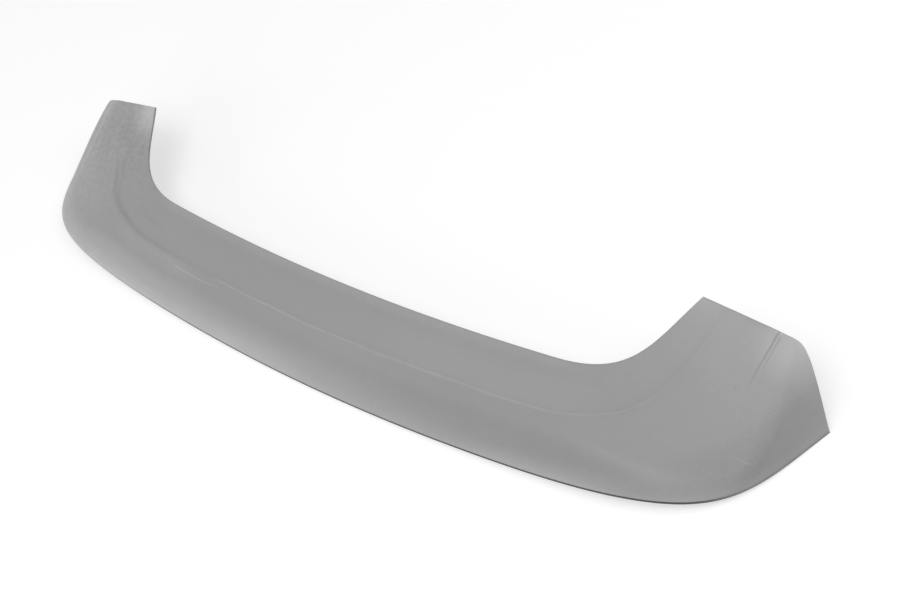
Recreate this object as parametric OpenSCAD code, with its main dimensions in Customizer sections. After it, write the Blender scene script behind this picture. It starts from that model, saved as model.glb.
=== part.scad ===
// Rear spoiler: one moulded skin, a swept blade with two forward legs whose
// sides fold down to outer corners. It stands on its two corners and on the
// middle of its trailing edge. X is across the car, Y points to the leg tips.
// The skin is shaped over a flat reference plane that holds the inner edge,
// and is then pitched, so heights below are measured from that plane.

/* [Overall] */
// Width over the two outer corners
span = 1200; // [1050:10:1350]
// Thickness of the moulded skin
wall = 3; // [2:0.5:5]

/* [Blade] */
// Depth of the blade at its middle, from the inner edge to the trailing edge
blade_depth = 128.5; // [115:0.5:150]
// Distance at the middle from the shoulder back to the trailing edge
roll_depth = 30.5; // [24:0.5:40]
// Sweep radius of the inner edge
inner_sweep_r = 3800; // [3000:100:7000]
// Sweep radius of the shoulder and of the trailing edge
outer_sweep_r = 3300; // [2800:100:6000]
// Height of the shoulder above the inner edge at the middle
shoulder_h = 12; // [6:1:18]
// Drop of the trailing edge below the inner edge at the middle
trailing_drop = 2; // [0:0.5:8]
// Height of the crown that swells the blade between its two edges
crown_h = 4; // [0:0.5:8]

/* [Legs] */
// Reach of the leg tips forward of the middle of the inner edge
leg_reach = 128; // [100:1:150]
// Width of a leg at its tip, from its inner edge to its shoulder
leg_w = 119.5; // [100:0.5:140]
// How far an outer corner stands outside the shoulder at the tip
corner_flare = 39; // [25:1:55]
// How far an outer corner lies behind the tip's inner edge
corner_setback = 76; // [50:1:95]
// How far the tip's edge falls back from its inner edge to its shoulder
tip_fall = 9; // [0:0.5:20]
// Drop of the shoulder below the inner edge at the tip
shoulder_drop = 17; // [8:0.5:24]
// Drop of the shoulder below the inner edge where it is lowest, along the side
shoulder_low = 25.5; // [18:0.5:33]
// Drop of the outer corner below the inner edge
corner_drop = 55.5; // [45:0.5:70]
// Angle of the leg's inner edge out from the Y axis at the tip
inner_angle = 26.5; // [15:0.5:32]
// Angle of the shoulder out from the Y axis at the tip
shoulder_angle = -5; // [-12:0.5:2]
// Angle of the side's lower edge out from the Y axis at the outer corner
side_angle = 23.5; // [18:0.5:32]

/* [Tips] */
// Distance from the shoulder to the bend that runs back from the tip
bend_in = 37; // [28:1:45]
// Height of the bend above a flat tip
bend_h = 5; // [0:0.5:8]

/* [Corners] */
// Distance across from the tip's inner edge to where the sweep of the inner edge ends
inner_run = 127.5; // [115:0.5:150]
// Distance across from the tip's shoulder to where the sweep of the shoulder ends
shoulder_run = 244; // [220:1:270]
// Distance across from the outer corner to where the sweep of the trailing edge ends
side_run = 335; // [300:1:370]

/* [Crease] */
// Distance of the crease from the inner edge at the middle
crease_in = 66; // [50:1:72]
// Distance of the crease from the inner edge in the corner
crease_corner_in = 61; // [45:1:70]
// Distance of the crease from the inner edge at the tip
crease_tip_in = 33; // [24:1:50]
// Width over which the skin curves up to the crease
crease_w = 16; // [5:1:20]
// Height of the crease at the middle
crease_h = 0.8; // [0:0.1:2]
// Height of the crease in the corner
crease_corner_h = 1.2; // [0:0.1:3]
// Height of the crease at the tip
crease_tip_h = 0.6; // [0:0.1:2]

/* [Hidden] */

// Cells along half of the band: the swept middle, and the curve round to the tip
mid_cells = 16;
curve_cells = 32;
half_cells = mid_cells + curve_cells;
// Cells across the band: the inner land, the curve up to the crease, the field
// as far as the bend, the facet as far as the shoulder, and the roll
land_cells = 4;
crease_cells = 4;
field_cells = 3;
facet_cells = 3;
roll_cells = 14;
columns = land_cells + crease_cells + field_cells + facet_cells + roll_cells;
rows = 2 * half_cells;

// Pulls of each guide line to its apex: from the end of the sweep and from the tip
inner_pull = [1.3, 0.55];
shoulder_pull = [0.935, 1.1];
side_pull = [1.1, 0.73];
// Shares of the band where the sweep ends and where the shoulder is lowest
sweep_share = 1 / 3;
low_share = 0.845;
// Share of the band where the trailing edge starts to fall, and how softly it starts
edge_fall_start = 0.51;
edge_fall_power = 1.45;
// Share of the band where the bend starts to rise
bend_rise_start = 0.55;
// Flat skin before the shoulder that bends into the roll: blade, corner and tip
roll_lead = [20, 14, 16];
// Pull of the roll's curve to the shoulder before it and after it: blade, corner and tip
pull_before = [0.6, 0.75, 0.75];
pull_after = [0.6, 0.75, 0.65];

// Ends of the three guide lines in plan, on the right side
inner_tip = [span / 2 - corner_flare - leg_w, leg_reach];
shoulder_tip = inner_tip + [leg_w, -tip_fall];
side_tip = [span / 2, leg_reach - corner_setback];
// The trailing edge is trimmed plumb where the skin slopes at about 40 degrees
plumb_cut_h = wall / cos(40);
// Pitch that sets the outer corners level with the trailing edge's middle
pitch = atan2(corner_drop - trailing_drop, side_tip.y + blade_depth);

function mix(a, b, t) = a + (b - a) * t;
function unit(v) = v / norm(v);
function clamped(t) = min(max(t, 0), 1);
function ramp(t) = let (c = clamped(t)) c * c * (3 - 2 * c);
function turn(a, b) = a.x * b.y - a.y * b.x;
function bezier(a, b, c, d, t) =
    a * pow(1 - t, 3) + 3 * b * t * pow(1 - t, 2) + 3 * c * t * t * (1 - t) + d * pow(t, 3);

// Share of the band at row k
function share(k) =
    k <= mid_cells ? sweep_share * k / mid_cells
    : mix(sweep_share, 1, (k - mid_cells) / curve_cells);

// A value given for the blade, the corner and the tip, at row k
function along(values, k) =
    let (t = 2 * (share(k) - sweep_share) / (1 - sweep_share))
    t < 1 ? mix(values[0], values[1], ramp(t)) : mix(values[1], values[2], ramp(t - 1));

// Guide line in plan: a shallow sweep, then one curve round the corner to the tip
function guide(mid_y, sweep_r, tip, angle, run, pull, k) =
    let (
        start_x = tip.x - run,
        start = [start_x, mid_y + start_x * start_x / (2 * sweep_r)],
        start_dir = [1, start_x / sweep_r],
        tip_dir = [sin(angle), cos(angle)],
        apex = start + start_dir * turn(tip - start, tip_dir) / turn(start_dir, tip_dir),
        x = start_x * k / mid_cells
    )
    k <= mid_cells ? [x, mid_y + x * x / (2 * sweep_r)]
    : bezier(start, mix(start, apex, pull[0]), mix(tip, apex, pull[1]), tip,
        (k - mid_cells) / curve_cells);

function inner_edge(k) =
    let (p = guide(0, inner_sweep_r, inner_tip, inner_angle, inner_run, inner_pull, k))
    [p.x, p.y, 0];

function shoulder(k) =
    let (
        p = guide(roll_depth - blade_depth, outer_sweep_r, shoulder_tip, shoulder_angle,
            shoulder_run, shoulder_pull, k),
        fall = ramp((share(k) - sweep_share) / (low_share - sweep_share)),
        lift = ramp((share(k) - low_share) / (1 - low_share))
    )
    [p.x, p.y, mix(shoulder_h, -shoulder_low, fall) + (shoulder_low - shoulder_drop) * lift];

function trailing_edge(k) =
    let (
        p = guide(-blade_depth, outer_sweep_r, side_tip, side_angle, side_run, side_pull, k),
        fall = pow(clamped((share(k) - edge_fall_start) / (1 - edge_fall_start)), edge_fall_power)
    )
    [p.x, p.y, mix(-trailing_drop, -corner_drop, fall)];

// Distance of the crease from the inner edge at row k
function crease_place(k) =
    let (s = 2 * share(k))
    s < 1 ? mix(crease_in, crease_corner_in, s) : mix(crease_corner_in, crease_tip_in, s - 1);

// Distances from the inner edge at which the flat part of a section has its points
function flat_stops(crease, bend, flat_end) =
    let (foot = crease - crease_w)
    [
        for (i = [0 : land_cells - 1]) foot * i / land_cells,
        for (i = [0 : crease_cells - 1]) mix(foot, crease, i / crease_cells),
        for (i = [0 : field_cells - 1]) mix(crease, bend, i / field_cells),
        for (i = [0 : facet_cells - 1]) mix(bend, flat_end, i / facet_cells)
    ];

// One section across the band: flat to the shoulder, then rolled down to the edge.
// The crown, the crease and the bend stand up from it.
function section(k) =
    let (
        inner = inner_edge(k),
        knee = shoulder(k),
        edge = trailing_edge(k),
        flat_l = norm(knee - inner),
        out = (knee - inner) / flat_l,
        up = unit([0, 0, 1] - out * out.z),
        roll_from = flat_l - along(roll_lead, k),
        before = along(pull_before, k),
        after = along(pull_after, k),
        roll_start = inner + out * roll_from,
        total = flat_l + norm(edge - knee),
        crease = crease_place(k),
        between = (crease + roll_from) / 2,
        bend = along([between, between, flat_l - bend_in], k),
        crown = 4 * crown_h * (1 - ramp((share(k) - sweep_share) / (1 - sweep_share))),
        ridge = along([crease_h, crease_corner_h, crease_tip_h], k),
        peak = bend_h * ramp((share(k) - bend_rise_start) / (1 - bend_rise_start)),
        bases = [
            for (d = flat_stops(crease, bend, roll_from)) [inner + out * d, d],
            for (i = [0 : roll_cells])
                let (t = i / roll_cells)
                [
                    bezier(roll_start, mix(roll_start, knee, before), mix(edge, knee, after), edge, t),
                    mix(roll_from, total, t)
                ]
        ]
    )
    [
        for (b = bases)
            let (
                d = b[1],
                v = d / total,
                swell = crown * v * (1 - v),
                crest = d < crease ? pow(clamped(1 - (crease - d) / crease_w), 2)
                    : (total - d) / (total - crease),
                tent = d < bend ? d / bend : clamped((flat_l - d) / (flat_l - bend))
            )
            b[0] + up * (swell + ridge * crest + peak * tent)
    ];

function pitched(p) =
    [p.x, p.y * cos(pitch) - p.z * sin(pitch), p.y * sin(pitch) + p.z * cos(pitch)];

// The outer face, row by row from the left tip to the right tip
right_half = [for (k = [0 : half_cells]) [for (p = section(k)) pitched(p)]];
outer = [
    for (r = [0 : rows])
        let (half = right_half[abs(r - half_cells)])
        r < half_cells ? [for (p = half) [-p.x, p.y, p.z]] : half
];

function outward(r, c) =
    let (
        along_band = outer[min(r + 1, rows)][c] - outer[max(r - 1, 0)][c],
        across_band = outer[r][min(c + 1, columns)] - outer[r][max(c - 1, 0)]
    )
    unit(cross(across_band, along_band));

// The underside lies one wall below the outer face, and plumb below its trimmed edge
under = [
    for (r = [0 : rows]) [
        for (c = [0 : columns])
            c == columns ? outer[r][c] - [0, 0, plumb_cut_h] : outer[r][c] - wall * outward(r, c)
    ]
];

// The origin is on the floor, below the middle of the spoiler's outline
all_points = [for (row = concat(outer, under)) for (p = row) p];
lowest = min([for (p = all_points) p.z]);
back = min([for (p = all_points) p.y]);
front = max([for (p = all_points) p.y]);
place = -[0, (back + front) / 2, lowest];

// Two triangles for the quad a, b, c, d, split so that both halves mirror
function halves(a, b, c, d, right) = right ? [[a, c, b], [a, d, c]] : [[a, d, b], [b, d, c]];

function at(side, r, c) = (side * (rows + 1) + r) * (columns + 1) + c;

module spoiler_shell() {
    faces = [
        for (r = [0 : rows - 1]) for (c = [0 : columns - 1]) each
            halves(at(0, r, c), at(0, r, c + 1), at(0, r + 1, c + 1), at(0, r + 1, c), r >= half_cells),
        for (r = [0 : rows - 1]) for (c = [0 : columns - 1]) each
            halves(at(1, r + 1, c), at(1, r + 1, c + 1), at(1, r, c + 1), at(1, r, c), r >= half_cells),
        for (r = [0 : rows - 1]) each
            halves(at(0, r + 1, 0), at(1, r + 1, 0), at(1, r, 0), at(0, r, 0), r >= half_cells),
        for (r = [0 : rows - 1]) each
            halves(at(0, r, columns), at(1, r, columns), at(1, r + 1, columns), at(0, r + 1, columns),
                r >= half_cells),
        for (c = [0 : columns - 1]) each
            halves(at(0, 0, c), at(1, 0, c), at(1, 0, c + 1), at(0, 0, c + 1), true),
        for (c = [0 : columns - 1]) each
            halves(at(0, rows, c + 1), at(1, rows, c + 1), at(1, rows, c), at(0, rows, c), true)
    ];
    color("#9b9b9b") translate(place) polyhedron(points = all_points, faces = faces);
}

spoiler_shell();
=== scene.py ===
"""Looks of the rear spoiler: a moulded skin in satin grey primer, lying on a white studio floor."""

import math
from collections import namedtuple

import bmesh
import bpy
import numpy as np
from mathutils import Matrix, Vector


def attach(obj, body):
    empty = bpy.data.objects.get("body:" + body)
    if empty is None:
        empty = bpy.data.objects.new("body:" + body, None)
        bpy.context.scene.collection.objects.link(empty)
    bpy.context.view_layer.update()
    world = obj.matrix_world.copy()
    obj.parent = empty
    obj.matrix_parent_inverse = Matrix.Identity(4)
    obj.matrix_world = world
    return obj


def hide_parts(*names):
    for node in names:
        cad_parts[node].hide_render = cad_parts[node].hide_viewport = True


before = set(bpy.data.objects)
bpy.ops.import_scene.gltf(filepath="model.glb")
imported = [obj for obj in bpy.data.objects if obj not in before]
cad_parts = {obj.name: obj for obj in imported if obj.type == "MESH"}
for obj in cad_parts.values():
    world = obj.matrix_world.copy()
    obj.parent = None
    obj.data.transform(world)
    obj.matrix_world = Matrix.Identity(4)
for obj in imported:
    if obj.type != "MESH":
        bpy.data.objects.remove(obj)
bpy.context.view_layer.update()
MM = 0.001


def add_object(name, data):
    obj = bpy.data.objects.new(name, data)
    bpy.context.scene.collection.objects.link(obj)
    return obj


# ---------------------------------------------------------------- camera
CAMERA_AT = (1.05840, -0.47389, 1.22755)
CAMERA_TURN = ((0.76396, -0.30258, 0.56991), (0.54550, 0.77463, -0.31996), (-0.34466, 0.55533, 0.75685))
LENS_MM = 53.787
SENSOR_MM = 36
CLIP_RANGE = (0.01, 100)


def make_camera():
    cam = add_object("camera", bpy.data.cameras.new("camera"))
    turn = Matrix(CAMERA_TURN).to_quaternion().to_matrix().to_4x4()
    cam.matrix_world = Matrix.Translation(CAMERA_AT) @ turn
    cam.data.lens = LENS_MM
    cam.data.sensor_width = SENSOR_MM
    cam.data.clip_start, cam.data.clip_end = CLIP_RANGE
    bpy.context.scene.camera = cam


make_camera()

# ---------------------------------------------------------------- the skin
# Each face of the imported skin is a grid. Its rows cross the band from the inner to the trailing
# edge, from the left tip to the right one, and the crease lies along the column CREASE_COLUMN.
CREASE_COLUMN = 8
# The side's fold: the column where it starts, how far its curve is pulled to the fold's line before
# and after it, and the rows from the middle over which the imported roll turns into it
FOLD_COLUMN = 14
FOLD_PULL = (0.92, 0.80)
FOLD_ROWS = (22, 34)
# Round the corner the fold runs further in: by how much at most, and the rows where it comes and goes
FOLD_INSET = 9 * MM
INSET_ROWS = (22, 30, 34, 43)
# The field's line comes from this many columns before the fold, and the side's line from this many
# before the edge
LINE_COLUMNS = 2
# How many cells each packed one becomes, along and across
FINER = 3
RIM_RADIUS = 0.5 * MM
RIM_SEGMENTS = 2
# Packed points nearer than this are one, and an edge with a greater angle is one of the skin's edges
MERGE = 0.01 * MM
SHARP = math.radians(38)
# The skin's materials
OUTER, RIM, UNDER = range(3)


def other_ends(vert, edges=None):
    return [e.other_vert(vert) for e in vert.link_edges if edges is None or e in edges]


def walk_rim(start, step, sharp, ends):
    """The points along a sharp edge of the skin, from one of its corners to the next."""
    line = [start, step]
    while line[-1] not in ends:
        line.append(next(v for v in other_ends(line[-1], sharp) if v != line[-2]))
    return line


def fill_grid(inner, tip):
    """One face's points, row by row, from those along its inner edge and along its first tip."""
    rows = [tip]
    for start in inner[1:]:
        row = [start]
        for before, above in zip(rows[-1], rows[-1][1:]):
            # The fourth point of the cell: joined to two known ones, and near where they put it
            guess = row[-1].co + above.co - before.co
            shared = [v for v in other_ends(row[-1]) if v in other_ends(above) and v != before]
            row.append(min(shared, key=lambda v: (v.co - guess).length))
        rows.append(row)
    return np.array([[v.co[:] for v in row] for row in rows])


def packed_grids():
    """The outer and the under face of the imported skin, each as an array of rows of points."""
    bm = bmesh.new()
    bm.from_mesh(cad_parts["spoiler_shell"].data)
    bmesh.ops.remove_doubles(bm, verts=bm.verts, dist=MERGE)
    bm.normal_update()
    sharp = {e for e in bm.edges if e.calc_face_angle(0) > SHARP}
    corners = {v for v in bm.verts if len(other_ends(v, sharp)) == 3}
    # The left tip's inner corners are the foremost two on the left; the outer face's is the upper one
    starts = sorted((v for v in corners if v.co.x < 0), key=lambda v: -v.co.y)[:2]
    grids = []
    for start in sorted(starts, key=lambda v: -v.co.z):
        lines = [walk_rim(start, step, sharp, corners) for step in other_ends(start, sharp)]
        inner = next(line for line in lines if line[-1].co.x > 0)
        tip = next(line for line in lines if line[-1].co.x < 0 and len(line) > 2)
        grids.append(fill_grid(inner, tip))
    bm.free()
    return grids


def finer(points, count):
    """The lines of points along axis 0, on smooth curves, with `count` cells for every one."""
    step = np.linalg.norm(np.diff(points, axis=0), axis=2)[..., None]
    slope = np.diff(points, axis=0) / step
    inner = (step[:-1] * slope[1:] + step[1:] * slope[:-1]) / (step[:-1] + step[1:])
    tangent = np.concatenate([2 * slope[:1] - inner[:1], inner, 2 * slope[-1:] - inner[-1:]])
    made = []
    for k in range(count):
        t = k / count
        a, b = points[:-1], points[1:]
        ma, mb = tangent[:-1] * step, tangent[1:] * step
        share = t * t * (3 - 2 * t)
        leave, arrive = ma * (t * (1 - t) ** 2), mb * (t * t * (t - 1))
        made.append(a * (1 - share) + b * share + leave + arrive)
    lines = np.stack(made, axis=1).reshape(-1, *points.shape[1:])
    return np.concatenate([lines, points[-1:]])


def fine_grid(points):
    across = finer(points.transpose(1, 0, 2), FINER).transpose(1, 0, 2)
    return finer(across, FINER)


def unit(vectors):
    return vectors / np.linalg.norm(vectors, axis=-1, keepdims=True)


def smooth_step(value, start, end):
    t = np.clip((value - start) / (end - start), 0, 1)
    return t * t * (3 - 2 * t)


def fold_shift(points):
    """How far each point moves to draw the roll of the sides up into a tighter fold."""
    start, edge = points[:, FOLD_COLUMN], points[:, -1]
    field = unit(start - points[:, FOLD_COLUMN - LINE_COLUMNS])
    side = unit(points[:, -1 - LINE_COLUMNS] - edge)
    # Where the field's line and the side's line meet
    cosine = (field * side).sum(1)
    along_field, along_side = ((edge - start) * field).sum(1), ((edge - start) * side).sum(1)
    field_length = (along_field - cosine * along_side) / (1 - cosine**2)
    side_length = cosine * field_length - along_side
    apex = (start + field * field_length[:, None] + edge + side * side_length[:, None]) / 2
    row = np.abs(np.arange(len(points)) - len(points) // 2)
    inset = smooth_step(row, *INSET_ROWS[:2]) * (1 - smooth_step(row, *INSET_ROWS[2:]))
    apex -= field * (FOLD_INSET * inset)[:, None]
    before, after = start + (apex - start) * FOLD_PULL[0], edge + (apex - edge) * FOLD_PULL[1]
    cells = points.shape[1] - 1 - FOLD_COLUMN
    t = (np.arange(cells + 1) / cells)[None, :, None]
    a, b, c, d = (v[:, None] for v in (start, before, after, edge))
    curve = a * (1 - t) ** 3 + 3 * b * t * (1 - t) ** 2 + 3 * c * t * t * (1 - t) + d * t**3
    share = smooth_step(row, *FOLD_ROWS)[:, None, None]
    shift = np.zeros_like(points)
    shift[:, FOLD_COLUMN:] = (curve - points[:, FOLD_COLUMN:]) * share
    return shift


packed = packed_grids()
fold = fold_shift(packed[0])
outer, under = (fine_grid(points + fold) for points in packed)
ROWS, COLS = outer.shape[:2]


def lengths(points, axis):
    """Running length of each line of points along an axis."""
    step = np.linalg.norm(np.diff(points, axis=axis), axis=2)
    start = np.zeros_like(step.take([0], axis=axis))
    return np.concatenate([start, np.cumsum(step, axis=axis)], axis=axis)


def band_places():
    """For each point: its run along the band from the middle, its distances from the inner and the
    trailing edge, and its distance out from the crease."""
    column = CREASE_COLUMN * FINER
    crease_run = lengths(outer[:, [column]], 0)
    run = np.repeat(crease_run - crease_run[ROWS // 2], COLS, axis=1)
    width = lengths(outer, 1)
    return run, width, width[:, [-1]] - width, width - width[:, [column]]


def skin_mesh():
    """The closed skin: both faces, and the rim between them, whose two edges round_rim later rounds
    slightly.
    """
    at = np.arange(2 * ROWS * COLS).reshape(2, ROWS, COLS)
    quads, kinds = [], []

    def strip(kind, *corners):
        cells = np.stack(corners, axis=-1).reshape(-1, 4)
        quads.append(cells)
        kinds.extend([kind] * len(cells))

    def rim(upper, lower, turned=False):
        near, far = slice(None, -1), slice(1, None)
        if turned:
            near, far = far, near
        strip(RIM, upper[near], upper[far], lower[far], lower[near])

    top, low = at
    strip(OUTER, top[:-1, :-1], top[1:, :-1], top[1:, 1:], top[:-1, 1:])
    strip(UNDER, low[:-1, :-1], low[:-1, 1:], low[1:, 1:], low[1:, :-1])
    rim(top[:, 0], low[:, 0], turned=True)
    rim(top[0], low[0])
    rim(top[:, -1], low[:, -1])
    rim(top[-1], low[-1], turned=True)
    mesh = bpy.data.meshes.new("spoiler_skin")
    points = np.concatenate([outer, under]).reshape(-1, 3)
    mesh.from_pydata(points.tolist(), [], np.concatenate(quads).tolist())
    mesh.polygons.foreach_set("material_index", kinds)
    run, width, rest, crease = band_places()
    # The under face has the places of the outer one
    for name, kind, key, values in (
        ("band", "FLOAT_VECTOR", "vector", np.stack([run, width, rest], axis=-1)),
        ("crease", "FLOAT", "value", crease),
    ):
        attribute = mesh.attributes.new(name, kind, "POINT")
        attribute.data.foreach_set(key, np.tile(values.reshape(-1), 2).astype(np.float32))
    return mesh


def round_rim(mesh):
    bm = bmesh.new()
    bm.from_mesh(mesh)
    rim = [e for e in bm.edges if len({f.material_index for f in e.link_faces}) == 2]
    bmesh.ops.bevel(
        bm, geom=rim, offset=RIM_RADIUS, segments=RIM_SEGMENTS, profile=0.5, affect="EDGES", material=RIM
    )
    bmesh.ops.recalc_face_normals(bm, faces=bm.faces)
    for f in bm.faces:
        f.smooth = True
    bm.to_mesh(mesh)
    print("skin:", len(bm.faces), "faces,", len(bm.verts), "points")
    bm.free()


skin = add_object("spoiler_skin", skin_mesh())
round_rim(skin.data)


# ---------------------------------------------------------------- materials
class Nodes:
    """The shader nodes of a material or the world, made by short calls."""

    def __init__(self, tree):
        self.tree = tree

    def put(self, socket, value):
        if isinstance(value, bpy.types.NodeSocket):
            self.tree.links.new(value, socket)
        else:
            socket.default_value = value

    def node(self, kind, inputs=(), **settings):
        node = self.tree.nodes.new("ShaderNode" + kind)
        for key, value in settings.items():
            setattr(node, key, value)
        for key, value in dict(inputs).items():
            self.put(node.inputs[key], value)
        return node

    def math(self, operation, first, *others):
        """The operation on the first two values, then on its result and the third, and so on."""
        for value in others:
            first = self.node("Math", {0: first, 1: value}, operation=operation).outputs[0]
        return first

    def total(self, *values):
        return self.math("ADD", *values)

    def product(self, *values):
        return self.math("MULTIPLY", *values)

    def vector(self, operation, *values, result="Vector"):
        return self.node("VectorMath", enumerate(values), operation=operation).outputs[result]

    def scaled(self, vector, scale):
        return self.node("VectorMath", {0: vector, "Scale": scale}, operation="SCALE").outputs[0]

    def fade(self, value, start, end, low=0.0, high=1.0):
        """low up to start, high from end on, and smooth between them."""
        inputs = {"Value": value, "From Min": start, "From Max": end, "To Min": low, "To Max": high}
        return self.node("MapRange", inputs, interpolation_type="SMOOTHSTEP").outputs[0]

    def grey(self, level):
        return self.node("CombineColor", dict.fromkeys(range(3), level)).outputs[0]

    def seen_directly(self):
        """1 for a camera, glossy or transmission ray, which see the white studio, and 0 for others."""
        path = self.node("LightPath").outputs
        rays = (path["Is Camera Ray"], path["Is Glossy Ray"], path["Is Transmission Ray"])
        return self.math("MAXIMUM", *rays)


class MaterialNodes(Nodes):
    def __init__(self, name):
        self.material = bpy.data.materials.new(name)
        self.material.use_nodes = True
        super().__init__(self.material.node_tree)
        self.tree.nodes.clear()

    def finish(self, shader):
        self.put(self.node("OutputMaterial").inputs["Surface"], shader.outputs[0])
        return self.material


# The noise texture's values that count as its least and its greatest
NOISE_SPAN = (0.25, 0.75)
# A noise: its scale per mm, its detail and its roughness, and its least and its greatest value
RAGGED_EDGE = (0.05, 3, 0.6, -2.0, 2.0)
SPECKLE = (0.30, 2, 0.6, 0.0, 1.0)
CREASE_WANDER = (0.02, 2, 0.5, -0.8, 0.8)
# The break-up of the painted shade beside the left corner's crease
CREASE_SHADE_BREAKUP = (0.12, 3, 0.6, 0.55, 1.35)
PRIMER_ROUGHNESS = (0.03, 4, 0.6, 0.36, 0.44)
ORANGE_PEEL = (0.32, 2, 0.5, 0.0, 0.02)
PRIMER_BUMP = 0.6

PRIMER_GREY = 0.292
LEFT_TIP_CORNER = (-443, 115, 0)
# How much more ragged the lighter area is at that corner than the bands along the edges
CORNER_RAGGED = 2.0
# The centre of the painted highlight round the right tip's shoulder
RIGHT_SHOULDER = (546, 112, 0)
# Just below the right cheek's fold, rest - FOLD_SLOPE * run + FOLD_START is 0
FOLD_SLOPE = 0.9
FOLD_START = 428.7
# The primer's lighter and darker areas, some of them its own tone and some painted light and shade. First
# comes how much lighter, as a number or a noise, and then the bounds along the coordinates, in mm but for
# the
# speckle: where the area starts, is full, ends and is gone, with OPEN on a side where it has no bound.
OPEN = (None, None)
# The band of the painted sheen on the roll along the trailing edge
ROLL_SHEEN_BAND = ("ragged_rest", (*OPEN, 4, 37))
# The crease's lighter line: worn primer and a painted highlight of its ridge
WORN_AND_HIGHLIGHT_LINE = (0.035, 4, 0.7, 0.012, 0.080)
FINE_LINE = (0.035, 4, 0.7, 0.00525, 0.035)
FINE_LINES_RUN = ("run", (-380, -340, -258, -235))
# Where right of the middle the land has painted light and the field painted shade
RIGHT_OF_MIDDLE = (("run", (60, 180, 340, 440)), ("rest", (8, 36, *OPEN)), ("width", (8, 34, *OPEN)))
AREAS = (
    # All over: the sprayed colour's clouds, mottle and grain
    ((0.009, 3, 0.6, -0.006, 0.006), ()),
    ((0.06, 4, 0.65, -0.004, 0.004), ()),
    ((0.7, 2, 0.5, -0.005, 0.005), ()),
    # Rubbed down by hand: faintly all over, coarsely on the left leg, and in patches on its inner half
    ((0.16, 4, 0.7, -0.00552, 0.00480), ()),
    ((0.16, 4, 0.7, -0.04048, 0.03520), (("run", (*OPEN, -520, -360)),)),
    ((0.045, 3, 0.6, -0.040, 0.004), (("width", (4, 16, 52, 75)), ("run", (-565, -545, -505, -440)))),
    # Speckled round the right cheek's fold
    (0.050, (("speckle", (0.78, 1.0, *OPEN)), ("run", (415, 450, 540, 575)), ("rest", (4, 14, 50, 66)))),
    # Lighter along the inner edge, and a painted sheen along the trailing edge
    (0.040, (("ragged_width", (*OPEN, 0, 17)), ("run", (-420, -330, 300, 420)))),
    (0.050, (("ragged_rest", (*OPEN, -2, 15)), ("run", (-560, -470, 400, 480)))),
    # and painted sheen on the roll along it, most on the left and before the right cheek, and up the left
    # leg
    (0.0203, (ROLL_SHEEN_BAND, ("run", (*OPEN, 400, 460)))),
    (0.0377, (ROLL_SHEEN_BAND, ("run", (*OPEN, -80, 60)))),
    (0.0348, (ROLL_SHEEN_BAND, ("run", (270, 340, 400, 440)), ("run", (*OPEN, 400, 460)))),
    (0.032, (("rest", (*OPEN, 20, 75)), ("run", (*OPEN, -545, -490)))),
    # Painted shade: the right cheek, and below its fold
    (-0.024, (("rest", (2, 14, 42, 64)), ("run", (420, 490, 545, 640)))),
    (-0.018, (("fold", (-26, -15, 2, 11)), ("run", (478, 498, 525, 552)))),
    # Lighter: the right tip and its inner side, a painted highlight round its shoulder, and the left tip
    # and its inner corner
    ((0.03, 3, 0.6, 0.030, 0.055), (("run", (495, 590, *OPEN)),)),
    (0.035, (("run", (530, 590, *OPEN)), ("width", (*OPEN, 0, 60)))),
    (0.105, (("from_shoulder", (*OPEN, 0, 50)),)),
    (0.022, (("run", (*OPEN, -585, -545)),)),
    (0.17, (("from_left_corner", (*OPEN, 0, 48)),)),
    # The crease: the lighter line on it, worn primer and a painted highlight of its ridge, painted shade
    # on its inner side, and two fine lines and a strip of painted light outside it on the left
    (WORN_AND_HIGHLIGHT_LINE, (("crease_line", (-4.0, -1.6, -1.6, 0.8)), ("run", (-195, -160, 300, 640)))),
    (-0.006, (("crease", (-11, -4, -1.5, 1.0)),)),
    (FINE_LINE, (("crease_line", (1.8, 3.0, 3.0, 4.2)), FINE_LINES_RUN)),
    (FINE_LINE, (("crease_line", (7.4, 8.5, 8.5, 9.6)), FINE_LINES_RUN)),
    (0.024, (("crease", (0, 6, 15, 24)), ("run", (-410, -360, -260, -190)))),
    # Right of the middle, painted light on the land and painted shade on the field
    (0.012, RIGHT_OF_MIDDLE),
    (-0.026, (("crease", (-5, 3, *OPEN)), *RIGHT_OF_MIDDLE)),
)

# A mark on the primer, in mm on the plan: its two ends, its half width, how much lighter it is at its
# first end and at its second, and how deep it is cut. It is full and gone at these shares of its width.
Mark = namedtuple("Mark", "start end half_width first last cut", defaults=(0,))
MARK_FULL, MARK_GONE = 0.3, 1.7
# The two lines that a tool left on the right tip, the first of them in two strokes
TOOL_LINES = (
    Mark((529.5, 119), (527.6, 99), 1.05, -0.125, -0.115, 0.10),
    Mark((527.6, 99), (521.5, 58), 1.00, -0.115, -0.015, 0.06),
    Mark((532.8, 113), (529.0, 80), 0.85, -0.100, -0.035, 0.06),
)
# The dull line down the left leg
LEFT_RUBS = (
    Mark((-530.2, 101), (-534.6, 86), 1.1, -0.030, -0.045),
    Mark((-534.6, 86), (-536.7, 67.7), 1.0, -0.045, -0.025),
    Mark((-536.7, 67.7), (-539.7, 49), 0.9, -0.025, -0.008),
)
# Painted shade beside the left corner's crease, on its inner side, and a fainter band of it further in
CREASE_SHADE_MARKS = (
    Mark((-462, 34), (-439.4, -0.8), 4.3, -0.022, -0.048),
    Mark((-439.4, -0.8), (-416.1, -17.9), 4.2, -0.048, -0.044),
    Mark((-416.1, -17.9), (-391.4, -27.5), 3.6, -0.044, -0.036),
    Mark((-391.4, -27.5), (-366, -37.5), 3.0, -0.036, -0.027),
    Mark((-366, -37.5), (-341.2, -44.5), 2.6, -0.027, -0.022),
    Mark((-341.2, -44.5), (-258, -54.0), 2.0, -0.022, -0.008),
    Mark((-372, -8), (-346.2, -19.9), 2.4, -0.004, -0.016),
    Mark((-346.2, -19.9), (-300, -30), 2.2, -0.016, -0.005),
)
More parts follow.
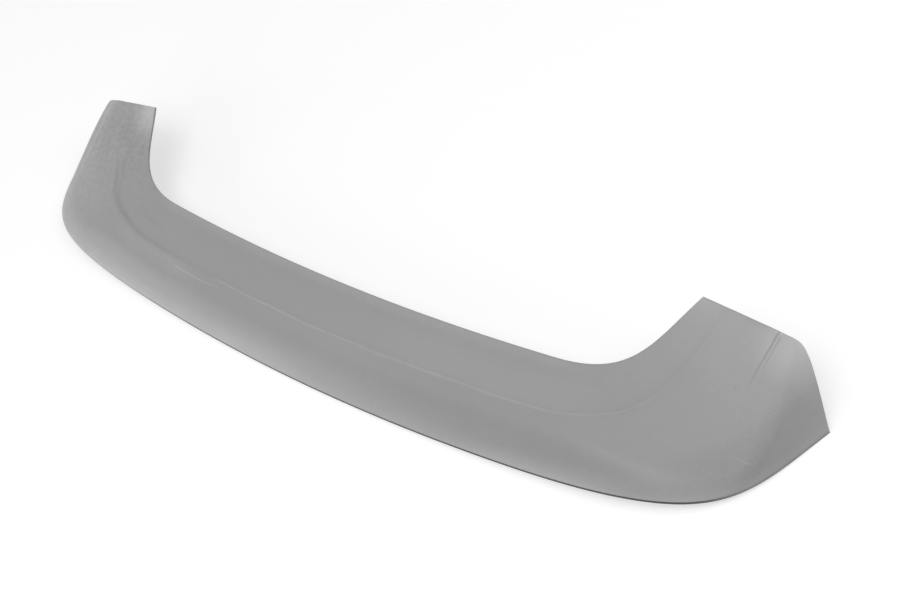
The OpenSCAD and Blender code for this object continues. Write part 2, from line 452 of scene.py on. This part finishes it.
# A painted highlight along the left leg's outer roll, and where the crease's lighter line of worn primer
# and painted highlight starts
ROLL_HIGHLIGHT_AND_WORN_LINE = (
    Mark((-541.5, 113), (-545.5, 72), 3.6, 0.055, 0.050),
    Mark((-545.5, 72), (-552, 28.8), 3.8, 0.050, 0.035),
    Mark((-552, 28.8), (-546, -17.5), 4.2, 0.035, 0.020),
    Mark((-252, -65), (-200, -68.9), 0.9, 0.055, 0.050),
    Mark((-200, -68.9), (-165, -68.0), 0.9, 0.050, 0.015),
)
SCRATCHES = (
    Mark((-427.5, -91.5), (-403.7, -80.6), 0.40, 0.10, 0.06, 0.04),
    Mark((-418, -93), (-411, -87), 0.45, 0.07, 0.03, 0.03),
    Mark((536, -6.3), (548.3, -6.2), 0.35, 0.03, 0.07, 0.03),
    Mark((548.3, -6.2), (554, -5), 0.45, 0.09, 0.02, 0.03),
    Mark((527, 115.6), (532.4, 116.4), 0.55, 0.09, 0.09),
)
# Specks, in mm on the plan: centre, radius and how much lighter. A speck is full and gone at these
# shares of its radius.
SPECK_FULL, SPECK_GONE = 0.4, 1.6
SPECKS = (
    ((509.7, 52.8), 1.7, -0.028),
    ((527, 26.8), 2.0, -0.014),
    ((530.6, 115.2), 0.9, -0.06),
    ((-480.2, 97.8), 2.6, -0.022),
    ((-549.4, 19.1), 1.4, 0.04),
    ((-539.4, 15.3), 1.0, 0.03),
    ((126.7, -111.2), 1.0, 0.06),
    ((118, -109.5), 0.6, 0.04),
)

# The trimmed edge: where it is bare, its two colours, and its rough cut
BARE_EDGE = (("rest", (*OPEN, 5, 30)), ("run", (-420, -250, 455, 505)))
EDGE_DARK = (0.12, 3, 0.6, 0.03, 0.06)
EDGE_DUSTED = (0.12, 3, 0.6, 0.27, 0.34)
EDGE_CUT = (0.5, 4, 0.6, 0.0, 0.1)
EDGE_ROUGHNESS = 0.6

# The underside: its plastic, and the primer mist near its edges
UNDERSIDE_GREY = 0.065
UNDERSIDE_CLOUD = (0.03, 4, 0.6, -0.008, 0.008)
MIST_LIGHTER = 0.13
MIST_WIDTH = 16
MIST_RAGGED = (0.04, 4, 0.6, -6.0, 6.0)
UNDERSIDE_GRAIN = (0.25, 3, 0.5, 0.0, 0.05)
UNDERSIDE_ROUGHNESS = 0.5
BARE_BUMP = 0.5

PLASTIC_IOR = 1.5


class SkinNodes(MaterialNodes):
    """Nodes that know a point's place on the part and, in `at`, its coordinates along the band, in mm."""

    def __init__(self, name):
        super().__init__(name)
        self.place = self.scaled(self.node("TexCoord").outputs["Object"], 1 / MM)
        band = self.node("Attribute", attribute_name="band").outputs["Vector"]
        crease = self.node("Attribute", attribute_name="crease").outputs["Fac"]
        in_metres = zip(("run", "width", "rest", "crease"), (*self.parts(band), crease))
        self.at = {name: self.math("DIVIDE", value, MM) for name, value in in_metres}
        x, y, _ = self.parts(self.place)
        self.plan = self.node("CombineXYZ", {0: x, 1: y}).outputs[0]

    def parts(self, vector):
        return list(self.node("SeparateXYZ", {0: vector}).outputs)

    def noise(self, scale, detail, rough, low, high):
        inputs = {"Vector": self.place, "Scale": scale, "Detail": detail, "Roughness": rough}
        value = self.node("TexNoise", inputs).outputs[0]
        least, most = NOISE_SPAN
        inputs = {"Value": value, "From Min": least, "From Max": most, "To Min": low, "To Max": high}
        return self.node("MapRange", inputs).outputs[0]

    def area(self, amount, bounds):
        """The amount inside the bounds, and 0 outside them."""
        if isinstance(amount, tuple):
            amount = self.noise(*amount)
        for coordinate, (start, full, end, gone) in bounds:
            value = self.at[coordinate]
            if full is not None:
                amount = self.product(amount, self.fade(value, start, full))
            if gone is not None:
                amount = self.product(amount, self.fade(value, end, gone, 1.0, 0.0))
        return amount

    def distance(self, point):
        return self.vector("DISTANCE", self.plan, point, result="Value")

    def stroke(self, mark, first, last):
        """The mark's line on the plan, worth `first` at its first end and `last` at its second."""
        a, b = (Vector((*end, 0)) for end in (mark.start, mark.end))
        way = b - a
        from_a = self.vector("SUBTRACT", self.plan, a)
        reached = self.vector("DOT_PRODUCT", from_a, way, result="Value")
        share = self.node("Clamp", {"Value": self.math("DIVIDE", reached, way.length_squared)}).outputs[0]
        off = self.vector("DISTANCE", from_a, self.scaled(way, share), result="Value")
        full, gone = MARK_FULL * mark.half_width, MARK_GONE * mark.half_width
        worth = self.total(self.product(share, last - first), first)
        return self.product(self.fade(off, full, gone, 1.0, 0.0), worth)

    def marks(self, join, marks):
        return self.math(join, *(self.stroke(mark, mark.first, mark.last) for mark in marks))

    def speck(self, centre, radius, lighter):
        off = self.distance((*centre, 0))
        return self.fade(off, SPECK_FULL * radius, SPECK_GONE * radius, lighter, 0.0)

    def plastic(self, grey, rough, bump, height):
        """The finished material; the height is in mm."""
        normal = self.node("Bump", {"Strength": bump, "Distance": MM, "Height": height}).outputs[0]
        inputs = {"Base Color": self.grey(grey), "Roughness": rough, "Normal": normal, "IOR": PLASTIC_IOR}
        return self.finish(self.node("BsdfPrincipled", inputs))


def primer():
    """Satin grey primer with its dust, wear and scratches, and painted sheen, highlights and shade."""
    s = SkinNodes("satin_grey_primer")
    ragged = s.noise(*RAGGED_EDGE)
    s.at |= {
        "ragged_width": s.total(s.at["width"], ragged),
        "ragged_rest": s.total(s.at["rest"], ragged),
        "speckle": s.noise(*SPECKLE),
        "crease_line": s.total(s.at["crease"], s.noise(*CREASE_WANDER)),
        "fold": s.total(s.at["rest"], s.product(s.at["run"], -FOLD_SLOPE), FOLD_START),
        "from_left_corner": s.total(s.distance(LEFT_TIP_CORNER), s.product(ragged, CORNER_RAGGED)),
        "from_shoulder": s.distance(RIGHT_SHOULDER),
    }
    grey = s.total(
        PRIMER_GREY,
        *(s.area(*area) for area in AREAS),
        s.marks("MINIMUM", TOOL_LINES + LEFT_RUBS),
        s.product(s.marks("MINIMUM", CREASE_SHADE_MARKS), s.noise(*CREASE_SHADE_BREAKUP)),
        s.marks("MAXIMUM", ROLL_HIGHLIGHT_AND_WORN_LINE),
        s.marks("ADD", SCRATCHES),
        *(s.speck(*speck) for speck in SPECKS),
    )
    cuts = (s.stroke(mark, mark.cut, mark.cut) for mark in TOOL_LINES + SCRATCHES if mark.cut)
    height = s.math("SUBTRACT", s.noise(*ORANGE_PEEL), s.total(*cuts))
    return s.plastic(grey, s.noise(*PRIMER_ROUGHNESS), PRIMER_BUMP, height)


def cut_edge():
    """The trimmed edge: bare and dark behind, dusted with primer on the cheeks, the tips and in front."""
    s = SkinNodes("bare_cut_edge")
    dusted = s.noise(*EDGE_DUSTED)
    darker = s.math("SUBTRACT", s.noise(*EDGE_DARK), dusted)
    grey = s.total(s.product(s.area(1.0, BARE_EDGE), darker), dusted)
    return s.plastic(grey, EDGE_ROUGHNESS, BARE_BUMP, s.noise(*EDGE_CUT))


def bare_underside():
    """The moulding's own dark plastic, with primer mist that reached round its edges."""
    s = SkinNodes("bare_underside")
    edge = s.total(s.math("MINIMUM", s.at["width"], s.at["rest"]), s.noise(*MIST_RAGGED))
    mist = s.fade(edge, 0, MIST_WIDTH, MIST_LIGHTER, 0.0)
    grey = s.total(UNDERSIDE_GREY, s.noise(*UNDERSIDE_CLOUD), mist)
    return s.plastic(grey, UNDERSIDE_ROUGHNESS, BARE_BUMP, s.noise(*UNDERSIDE_GRAIN))


for make_material in (primer, cut_edge, bare_underside):
    skin.data.materials.append(make_material())

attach(skin, "root")
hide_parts("spoiler_shell")


# ---------------------------------------------------------------- floor, world and lamps
FLOOR_HALF = 30.0
FLOOR_WHITE = 0.7
# As seen, the floor is darker but lifted towards white, so its shadow is lighter; the light that it
# throws back is FLOOR_WHITE's. Beyond the lamps' reach the lift alone makes it white.
FLOOR_SEEN = 0.5
FLOOR_LIFT, FAR_LIFT = 0.60, 0.98
LIFT_RISE = (1.8, 4.5)
WORLD_LIGHT = 0.02
WHITE = (1, 1, 1, 1)


def floor_material():
    s = MaterialNodes("white_floor")
    seen = s.seen_directly()
    white = s.total(s.product(seen, FLOOR_SEEN - FLOOR_WHITE), FLOOR_WHITE)
    paper = s.node("BsdfDiffuse", {"Color": s.grey(white)}).outputs[0]
    far = s.vector("LENGTH", s.node("TexCoord").outputs["Object"], result="Value")
    strength = s.product(seen, s.fade(far, *LIFT_RISE, FLOOR_LIFT, FAR_LIFT))
    lift = s.node("Emission", {"Strength": strength}).outputs[0]
    return s.finish(s.node("AddShader", {0: paper, 1: lift}))


def make_floor():
    mesh = bpy.data.meshes.new("floor")
    h = FLOOR_HALF
    mesh.from_pydata([(-h, -h, 0), (h, -h, 0), (h, h, 0), (-h, h, 0)], [], [(0, 1, 2, 3)])
    mesh.materials.append(floor_material())
    add_object("floor", mesh)


def make_world():
    world = bpy.data.worlds.new("studio")
    bpy.context.scene.world = world
    world.use_nodes = True
    s = Nodes(world.node_tree)
    background = s.tree.nodes["Background"]
    background.inputs["Color"].default_value = WHITE
    strength = s.total(s.product(s.seen_directly(), 1 - WORLD_LIGHT), WORLD_LIGHT)
    s.put(background.inputs["Strength"], strength)


# Square soft boxes that face the object: azimuth, elevation, and the radiance of the face
BOX_SIZE = 2.0
BOX_DISTANCE = 3.0
SOFT_BOXES = {
    "left_low": (260, 10, 0.47),
    "rear_left_low": (300, 10, 1.19),
    "rear_low": (320, 10, 1.51),
    "behind_low": (0, 10, 1.79),
    "front_right": (120, 40, 3.44),
    "left_high": (260, 55, 0.76),
    "left_top": (280, 70, 0.53),
    "top": (20, 70, 2.36),
}


def soft_box(name, azimuth, elevation, radiance):
    a, e = math.radians(azimuth), math.radians(elevation)
    way = Vector((math.sin(a) * math.cos(e), -math.cos(a) * math.cos(e), math.sin(e)))
    light = bpy.data.lights.new(name, "AREA")
    light.shape = "SQUARE"
    light.size = BOX_SIZE
    light.energy = radiance * BOX_SIZE**2 * math.pi
    obj = add_object(name, light)
    obj.location = way * BOX_DISTANCE
    obj.rotation_mode = "QUATERNION"
    obj.rotation_quaternion = way.to_track_quat("Z", "Y")
    obj.visible_camera = False


make_floor()
make_world()
for box_name, values in SOFT_BOXES.items():
    soft_box(box_name, *values)
bpy.context.scene.view_settings.view_transform = "Standard"
